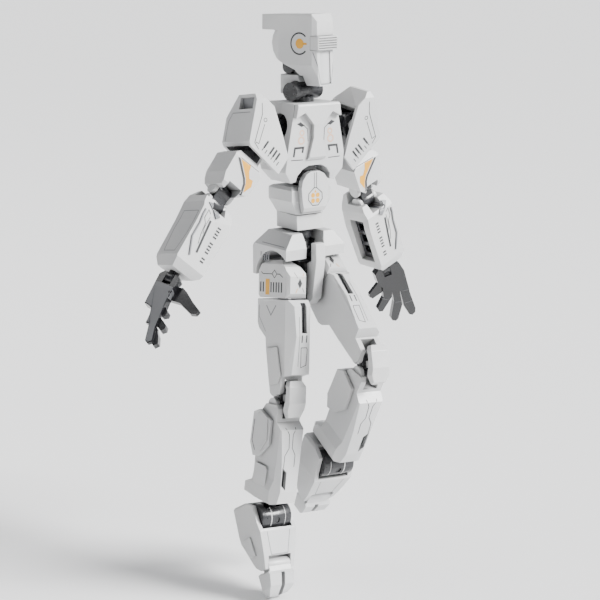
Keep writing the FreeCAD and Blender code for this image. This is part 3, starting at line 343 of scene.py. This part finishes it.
def lay(title, place, side, view, shapes, material, on, body, lift=0.035, height=0.0, target=0.7):
    """Drape outlines on the pieces: a printed film, or raised trim when height is given."""
    across, up, along, sign = VIEWS[view]
    if along == 0:
        sign *= side
    base = FRAMES[place]
    tree = surface_of(on)
    form = bmesh.new()
    for shape in shapes:
        corners = []
        for u, v in shape:
            point = Vector((0, 0, 0))
            point[across] = u * (side if across == 0 else 1)
            point[up] = v
            corners.append(form.verts.new(point))
        form.faces.new(corners)
    bmesh.ops.triangulate(form, faces=form.faces[:])
    for _ in range(5):
        long = [edge for edge in form.edges if edge.calc_length() > target]
        if not long:
            break
        bmesh.ops.subdivide_edges(form, edges=long, cuts=1)
        bmesh.ops.triangulate(form, faces=form.faces[:])
    bmesh.ops.remove_doubles(form, verts=form.verts[:], dist=0.001)
    turn = base.to_3x3()
    outward = turn @ Vector([sign if axis == along else 0 for axis in range(3)])
    levels = []
    missed = []
    for vertex in form.verts:
        far = vertex.co.copy()
        far[along] = sign * RAY_START
        origin = base @ (far * MM)
        found = tree.ray_cast(origin, -outward)
        if found[0] is None:
            missed.append(vertex)
            continue
        depth = (base.inverted() @ found[0])[along] / MM
        vertex.co[along] = depth + sign * (lift + height)
        levels.append(vertex.co[along])
    if not levels:
        raise RuntimeError(f"{title} misses its pieces")
    middle = sorted(levels)[len(levels) // 2]
    for vertex in missed:
        vertex.co[along] = middle
    if height:
        skirt(form, along, -sign * (height + lift + TRIM_ROOT))
    bmesh.ops.transform(form, matrix=base @ Matrix.Scale(MM, 4), verts=form.verts[:])
    bmesh.ops.recalc_face_normals(form, faces=form.faces[:])
    mesh = bpy.data.meshes.new(title)
    form.to_mesh(mesh)
    form.free()
    mesh.materials.append(material)
    item = bpy.data.objects.new(title, mesh)
    bpy.context.scene.collection.objects.link(item)
    if height:
        round_edges(item, TRIM_EDGE, 40)
    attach(item, body)
    return item


def skirt(form, axis, drop):
    """Close a sheet into a solid by a copy of it set back along one axis."""
    made = bmesh.ops.extrude_face_region(form, geom=form.faces[:])
    for part in made["geom"]:
        if isinstance(part, bmesh.types.BMVert):
            part.co[axis] += drop


def chest_marks():
    """Printing on the chest: a tab and line, linked rings, a bracket and a rule on each side."""
    casing = ["chest_front", "chest_crest"]
    for tag, side in (("l", 1), ("r", -1)):
        tab = [[(6.0, 14.1), (4.9, 14.5), (3.5, 13.6), (4.6, 13.3)]]
        rule = band([(4.9, 14.5), (2.7, 12.7), (2.5, 9.6)], 0.16)
        hook = band([(7.0, 5.9), (6.6, 8.1), (4.0, 8.1), (4.3, 6.8)], 0.55)
        under = band([(7.7, 5.1), (4.0, 5.0)], 0.2)
        lay(f"chest_print_{tag}", "chest", side, "front", tab + rule + hook + under, INK, casing, "chest")
        links = ring((4.4, 11.8), 0.62, 0.28) + ring((4.6, 9.9), 0.85, 0.3)
        lay(f"chest_rings_{tag}", "chest", side, "front", links, PEACH, casing, "chest")


def abdomen_marks():
    """Two rules, an eight-sided outline and five amber seeds on the tongue."""
    plate = ["abdomen_plate"]
    rules = band([(-0.36, 15.3), (-0.36, 11.4)], 0.16) + band([(0.36, 15.3), (0.36, 11.4)], 0.16)
    frame_line = [(-0.4, 11.4), (-2.1, 10.0), (-2.2, 8.4), (-0.9, 6.9), (0.9, 6.9), (2.2, 8.4), (2.1, 10.0),
                  (0.4, 11.4)]
    lay("abdomen_print", "abdomen", 1, "front", rules + band(frame_line, 0.2, True), INK, plate, "abdomen")
    seeds = []
    for u, v in ((-0.75, 9.5), (0.75, 9.5), (-0.75, 8.1), (0.75, 8.1)):
        seeds += disc((u, v), 0.6)
    seeds += [[(0, 10.9), (-0.35, 10.2), (0.35, 10.2)]]
    lay("abdomen_seeds", "abdomen", 1, "front", seeds, AMBER, plate, "abdomen")


def head_marks():
    """An open ring with an amber pupil on each side of the helmet, and the bars of the visor."""
    for tag, side in (("l", 1), ("r", -1)):
        open_ring = ring((-4.3, 5.9), 2.6, 0.4, 222.0, 498.0)
        lay(f"head_ring_{tag}", "head", side, "outer", open_ring, INK, ["head_shell"], "head", target=0.5)
        pupil = disc((-4.4, 5.9), 1.25) + [[(-5.4, 6.15), (-6.6, 6.15), (-6.6, 5.65), (-5.4, 5.65)]]
        lay(f"head_pupil_{tag}", "head", side, "outer", pupil, AMBER, ["head_shell"], "head")
    slots = []
    for index in range(5):
        low = 4.72 + 0.6 * index
        slots.append([(-3.75, low), (3.75, low), (3.75, low + 0.26), (-3.75, low + 0.26)])
    lay("visor_bars", "head", 1, "front", slots, INK, ["visor"], "head")
    seam = band([(-3.95, 3.9), (-2.2, -4.1), (2.2, -4.1), (3.95, 3.9)], 0.12)
    lay("face_seam", "head", 1, "front", seam, GREY, ["head_shell", "face_plate"], "head")


def arm_marks(name, side):
    """Guard lines and window, the amber flash, and the forearm's rows of bars, ridge and rail."""
    plate = [f"pauldron_{name}"]
    lines = band([(2.5, 6.4), (2.7, 3.6), (5.6, -3.0), (4.6, -4.7)], 0.18)
    lines += band([(2.2, 1.2), (4.4, -3.4), (5.3, -2.9)], 0.16) + ring((1.9, 2.2), 0.45, 0.16)
    lines += bars((-1.9, -6.4), (0.8, 0.8), (0.38, 0.38), (1.5, -1.5), 5, skip=(3,))
    lines += bars((-1.2, -8.4), (0.8, 0.8), (0.16, 0.16), (0.8, -0.8), 6)
    lay(f"pauldron_print_{name}", f"pauldron_{name}", side, "front", lines, INK, plate, f"pauldron_{name}")
    window = [[(-4.55, 5.35), (1.15, 5.35), (1.15, 7.85), (-4.55, 7.85)]]
    lay(f"pauldron_window_{name}", f"pauldron_{name}", side, "outer", window, GREY, plate, f"pauldron_{name}")
    sill = band([(-4.0, 4.4), (3.6, 4.4), (4.9, 2.4), (4.9, -3.0)], 0.14)
    lay(f"pauldron_seam_{name}", f"pauldron_{name}", side, "outer", sill, GREY, plate, f"pauldron_{name}")
    block = [f"upper_arm_{name}"]
    flash = [[(2.3, -11.0), (-0.9, -10.7), (-1.3, -12.3), (-1.5, -14.2)],
             [(-1.3, -12.3), (-2.3, -13.6), (-3.4, -13.4), (-3.9, -15.0), (-2.8, -17.4), (-2.2, -15.4),
              (-1.5, -14.2)]]
    lay(f"arm_flash_{name}", f"upper_arm_{name}", side, "front", flash, AMBER, block, f"upper_arm_{name}")
    edge = band([(3.1, -11.0), (-1.0, -14.5), (-1.8, -15.6), (-2.5, -18.4)], 0.62)
    edge += band([(2.5, -10.7), (-3.8, -10.5)], 0.16)
    lay(f"arm_print_{name}", f"upper_arm_{name}", side, "front", edge, INK, block, f"upper_arm_{name}")
    shell = [f"forearm_shell_{name}"]
    marks = band([(1.1, -7.2), (0.2, -15.8)], 0.6)
    marks += band([(2.0, -5.9), (3.0, -5.3), (3.0, -7.5), (2.0, -8.6), (1.6, -11.6), (1.0, -13.8)], 0.16)
    marks += band([(1.7, -6.6), (1.7, -9.6), (1.2, -11.0)], 0.14)
    marks += bars((-2.6, -7.2), (-0.02, -0.86), (0.02, -0.42), (1.1, 0.0), 12, skip=(4, 9))
    lay(f"forearm_print_{name}", f"forearm_{name}", side, "front", marks, INK, shell, f"forearm_{name}")
    ridge = [[(3.6, -3.4), (1.9, -2.6), (-0.6, -5.2), (0.2, -6.1), (2.9, -4.0)]]
    lay(f"forearm_ridge_{name}", f"forearm_{name}", side, "front", ridge, GREY, shell, f"forearm_{name}",
        height=0.3)
    panel = band([(-3.6, -6.6), (2.9, -6.6), (3.2, -12.0), (2.2, -18.0), (-2.6, -18.0), (-3.6, -13.0)],
                 0.14, True)
    lay(f"forearm_seam_{name}", f"forearm_{name}", side, "outer", panel, GREY, shell, f"forearm_{name}")
    rail = band([(3.9, -5.6), (3.9, -7.0), (3.5, -9.2), (3.5, -13.2), (1.6, -17.4)], 0.4)
    lay(f"forearm_rail_{name}", f"forearm_{name}", side, "front", rail, GREY, shell, f"forearm_{name}",
        height=0.25)


def leg_marks(name, side):
    """Hip trace and gem, then the slots, lines and rims of thigh, shin and calf."""
    block = [f"hip_block_{name}"]
    trace = band([(5.3, 2.0), (4.5, 1.5), (0.5, 1.5)], 0.2)
    trace += band([(-1.7, 1.5), (-2.9, 1.5), (-4.3, 0.7)], 0.2)
    trace += band([(0.5, 1.5), (-0.6, 2.5), (-1.7, 1.5), (-0.6, 0.5)], 0.2, True)
    trace += bars((5.7, -3.2), (-1.15, 0.0), (-0.55, 0.0), (0.0, 2.6), 9, skip=(2, 3))
    lay(f"hip_trace_{name}", f"thigh_{name}", side, "outer", trace, INK, block, f"hip_block_{name}")
    chip = [[(3.3, 0.2), (1.5, 0.2), (1.5, -3.9), (3.3, -3.9)]]
    lay(f"hip_chip_{name}", f"thigh_{name}", side, "outer", chip, AMBER, block, f"hip_block_{name}")
    gem = [[(-0.6, 0.5), (0.1, -0.8), (-0.6, -2.1), (-1.3, -0.8)]]
    rays = band([(0.9, 2.0), (0.2, 0.6)], 0.14) + band([(-1.4, -2.0), (-2.0, -3.1)], 0.14)
    lay(f"hip_gem_{name}", f"thigh_{name}", side, "front", gem + rays, INK, block, f"hip_block_{name}")
    glow = band([(0.7, -3.2), (0.1, -2.1)], 0.14) + band([(-1.4, 0.6), (-2.0, 1.8)], 0.14)
    lay(f"hip_glow_{name}", f"thigh_{name}", side, "front", glow, AMBER, block, f"hip_block_{name}")
    shell = [f"thigh_shell_{name}"]
    marks = band([(-0.5, -13.9), (-0.5, -15.8)], 0.34) + band([(-1.9, -13.9), (-1.9, -15.8)], 0.34)
    marks += band([(-0.35, -17.1), (-2.1, -17.1), (-2.3, -17.6), (-2.2, -21.6), (-0.6, -22.2)], 0.16, True)
    marks += band([(0.3, -9.2), (0.3, -21.9)], 0.1)
    lay(f"thigh_print_{name}", f"thigh_{name}", side, "front", marks, INK, shell, f"thigh_{name}")
    slot = [[(-0.5, -5.7), (-1.9, -5.7), (-1.9, -13.3), (-0.5, -13.3)]]
    lay(f"thigh_slot_{name}", f"thigh_{name}", side, "front", slot, BLACK, shell, f"thigh_{name}")
    notch = band([(2.4, -6.6), (0.4, -9.1), (-1.8, -6.5)], 0.3)
    notch += band([(5.6, -6.6), (5.6, -9.6), (2.6, -13.4)], 0.14)
    lay(f"thigh_notch_{name}", f"thigh_{name}", side, "outer", notch, GREY, shell, f"thigh_{name}")
    shell = [f"shin_shell_{name}"]
    marks = band([(1.9, -6.9), (0.9, -8.6), (0.8, -12.1), (2.0, -14.0), (2.2, -17.6)], 0.17)
    marks += band([(-1.3, -6.9), (-0.3, -8.6), (-0.2, -12.1), (-1.2, -13.9), (-1.1, -17.0)], 0.17)
    lay(f"shin_print_{name}", f"shin_{name}", side, "front", marks, INK, shell, f"shin_{name}")
    slot = [[(2.3, -17.25), (1.1, -18.5), (1.1, -23.1), (2.3, -21.9)]]
    lay(f"shin_slot_{name}", f"shin_{name}", side, "front", slot, BLACK, shell, f"shin_{name}")
    chevron = band([(3.9, -4.9), (2.8, -4.1), (-0.6, -5.4), (-1.2, -11.0), (1.4, -14.6)], 0.45)
    guard = [f"calf_guard_{name}"]
    lay(f"calf_rim_{name}", f"shin_{name}", side, "outer", chevron, WHITE, guard, f"shin_{name}", height=0.22)
    vent = band([(5.0, -7.0), (5.2, -12.6), (3.6, -15.0)], 0.22)
    lay(f"calf_line_{name}", f"shin_{name}", side, "outer", vent, INK, guard, f"shin_{name}")


def hand_marks():
    """A grey plate with notched knuckles on the half-closed right hand."""
    plate = [(2.6, -2.3), (2.15, -8.2), (-0.1, -8.8), (-0.55, -10.6), (-0.75, -12.6), (-1.8, -12.6),
             (-2.05, -14.2), (-2.9, -16.8), (-3.6, -17.1), (-4.3, -16.4), (-3.3, -13.2), (-2.6, -8.0),
             (-2.15, -4.4), (-2.3, -2.3)]
    lay("hand_plate_right", "hand_right", -1, "outer", [plate], PLATE, ["hand_right"], "hand_right",
        height=0.12)
    creases = band([(2.6, -8.2), (4.4, -8.4)], 0.14) + band([(-3.4, -8.2), (-1.6, -9.6)], 0.14)
    creases += band([(-0.2, -10.8), (1.4, -11.2)], 0.14) + band([(2.4, -12.4), (4.6, -12.4)], 0.14)
    lay("hand_creases_left", "hand_left", 1, "outer", creases, PLATE, ["hand_left"], "hand_left")


def foot_marks(name, side):
    """A pale rim round the drum, a raised block on the outer wall, lines on the instep and the heel."""
    drum = [f"ankle_drum_{name}"]
    rim = band([(1.7, -3.0), (1.7, 2.4)], 0.26) + band([(-2.6, -3.0), (-2.6, 2.4)], 0.14)
    lay(f"drum_rim_{name}", f"foot_{name}", side, "above", rim, WHITE, drum, f"ankle_drum_{name}", target=0.4)
    shell = [f"foot_shell_{name}"]
    block = [[(-4.6, -2.2), (-9.6, -2.2), (-9.8, -4.6), (-5.0, -5.6)]]
    lay(f"foot_block_{name}", f"foot_{name}", side, "outer", block, WHITE, shell, f"foot_{name}", height=0.5)
    lines = band([(3.6, -4.4), (2.6, -10.2), (-2.6, -10.2), (-3.6, -4.4)], 0.14)
    lay(f"foot_seam_{name}", f"foot_{name}", side, "above", lines, GREY, shell, f"foot_{name}")
    heel = band([(-3.6, -3.2), (0.0, -5.6), (3.6, -3.2)], 0.2) + band([(0.0, -5.6), (0.0, -7.2)], 0.2)
    lay(f"heel_seam_{name}", f"foot_{name}", side, "rear", heel, GREY, shell, f"foot_{name}")


def back_marks():
    """Panel lines, vents and the collar of the stand port on the trunk, the pelvis and the helmet."""
    casing = ["chest_back"]
    for tag, side in (("l", 1), ("r", -1)):
        lines = band([(1.4, 17.0), (1.4, 12.0), (4.6, 9.2), (6.0, 3.2)], 0.16)
        lines += bars((2.6, 15.4), (0.0, -0.8), (0.0, -0.3), (2.6, -0.9), 4)
        lay(f"back_print_{tag}", "chest", side, "rear", lines, GREY, casing, "chest")
        flank = band([(-4.4, 3.4), (2.8, 3.4), (3.4, 8.6)], 0.14)
        lay(f"flank_seam_{tag}", "chest", side, "outer", flank, GREY, ["chest_front", "chest_back"], "chest")
        belt = band([(-4.0, 9.4), (5.6, 9.4)], 0.14) + bars((2.6, 4.6), (0.9, 0.0), (0.4, 0.0), (0.0, 2.4), 4)
        lay(f"belt_seam_{tag}", "pelvis", side, "outer", belt, GREY, ["pelvis_shell"], "pelvis")
    collar = ring((0.0, 4.4), 2.3, 0.5)
    lay("port_collar", "pelvis", 1, "rear", collar, GREY, ["pelvis_shell"], "pelvis", height=0.2)
    spine = bars((-1.6, 7.0), (0.0, 0.9), (0.0, 0.4), (3.2, 0.0), 4)
    lay("abdomen_vents", "abdomen", 1, "rear", spine, GREY, ["abdomen_core"], "abdomen")
    crown = band([(0.0, -7.4), (0.0, 7.0)], 0.16) + band([(-2.4, 2.0), (0.0, -1.6), (2.4, 2.0)], 0.16)
    lay("crown_seam", "head", 1, "above", crown, GREY, ["head_shell"], "head")


chest_marks()
back_marks()
abdomen_marks()
head_marks()
hand_marks()
for limb, hand_side in SIDES.items():
    arm_marks(limb, hand_side)
    leg_marks(limb, hand_side)
    foot_marks(limb, hand_side)


# ---------------------------------------------------------------------------------------------
# Floor, light and camera
# ---------------------------------------------------------------------------------------------
def plain_material(name, colour):
    material, tree, _ = new_material(name)
    surface = tree["Principled BSDF"]
    surface.inputs["Roughness"].default_value = 0.9
    surface.inputs["Base Color"].default_value = (*colour, 1)
    return material


FLOOR_REACH = 30.0
FLOOR_GAP = 0.0005
KEY_FROM = (0.62, -0.72, 0.60)
KEY_SOFTNESS = 24.0
KEY_POWER = 9.0


def studio():
    """A wide pale floor and a dim surround that is lighter on the figure's left."""
    mesh = bpy.data.meshes.new("floor")
    form = bmesh.new()
    reach = FLOOR_REACH
    corners = []
    for x, y in ((-reach, -reach), (reach, -reach), (reach, reach), (-reach, reach)):
        corners.append(form.verts.new((x, y, 0)))
    form.faces.new(corners)
    form.to_mesh(mesh)
    form.free()
    floor = bpy.data.objects.new("floor", mesh)
    floor.location.z = cad_low.z - FLOOR_GAP
    mesh.materials.append(plain_material("floor_white", (0.97, 0.97, 0.97)))
    bpy.context.scene.collection.objects.link(floor)
    world = bpy.data.worlds.new("studio")
    world.use_nodes = True
    tree = world.node_tree.nodes
    link = world.node_tree.links
    place = tree.new("ShaderNodeTexCoord")
    split = tree.new("ShaderNodeSeparateXYZ")
    link.new(place.outputs["Generated"], split.inputs["Vector"])
    ramp = tree.new("ShaderNodeValToRGB")
    ramp.color_ramp.elements[0].position = 0.30
    ramp.color_ramp.elements[0].color = (0.03, 0.032, 0.04, 1)
    ramp.color_ramp.elements[1].position = 0.66
    ramp.color_ramp.elements[1].color = (0.60, 0.61, 0.63, 1)
    spread = tree.new("ShaderNodeMapRange")
    spread.inputs["From Min"].default_value = -1.0
    spread.inputs["From Max"].default_value = 1.0
    link.new(split.outputs["X"], spread.inputs["Value"])
    link.new(spread.outputs["Result"], ramp.inputs["Fac"])
    link.new(ramp.outputs["Color"], tree["Background"].inputs["Color"])
    tree["Background"].inputs["Strength"].default_value = 1.0
    bpy.context.scene.world = world


def lamp(name, place, aim, size, power):
    """A round soft lamp, aimed at a point."""
    light = bpy.data.lights.new(name, "AREA")
    light.energy = power
    light.shape = "DISK"
    light.size = size
    item = bpy.data.objects.new(name, light)
    item.location = place
    item.rotation_euler = (Vector(aim) - Vector(place)).to_track_quat("-Z", "Y").to_euler()
    bpy.context.scene.collection.objects.link(item)


def sun(name, towards, softness, power):
    """A broad distant light; towards is the direction that it comes from."""
    light = bpy.data.lights.new(name, "SUN")
    light.energy = power
    light.angle = math.radians(softness)
    item = bpy.data.objects.new(name, light)
    item.rotation_euler = (-Vector(towards)).to_track_quat("-Z", "Y").to_euler()
    bpy.context.scene.collection.objects.link(item)


TARGET = Vector((-1.74, -10.3, -10.22)) * MM
AZIMUTH = math.radians(-36.73)
ELEVATION = math.radians(13.08)
DISTANCE = 0.3835
LENS = 88.5
SENSOR = 36


def camera():
    """The scene's camera, aimed at TARGET from the figure's right front."""
    lens = bpy.data.cameras.new("camera")
    lens.sensor_width = SENSOR
    lens.lens = LENS
    lens.clip_start = 0.01
    item = bpy.data.objects.new("camera", lens)
    level = math.cos(ELEVATION)
    away = Vector((math.sin(AZIMUTH) * level, -math.cos(AZIMUTH) * level, math.sin(ELEVATION)))
    item.location = TARGET + away * DISTANCE
    item.rotation_euler = (-away).to_track_quat("-Z", "Y").to_euler()
    bpy.context.scene.collection.objects.link(item)
    bpy.context.scene.camera = item


studio()
sun("key", KEY_FROM, KEY_SOFTNESS, KEY_POWER)
lamp("top", (-0.25, 0.10, 0.80), (0, 0, 0), 0.6, 3.0)
camera()
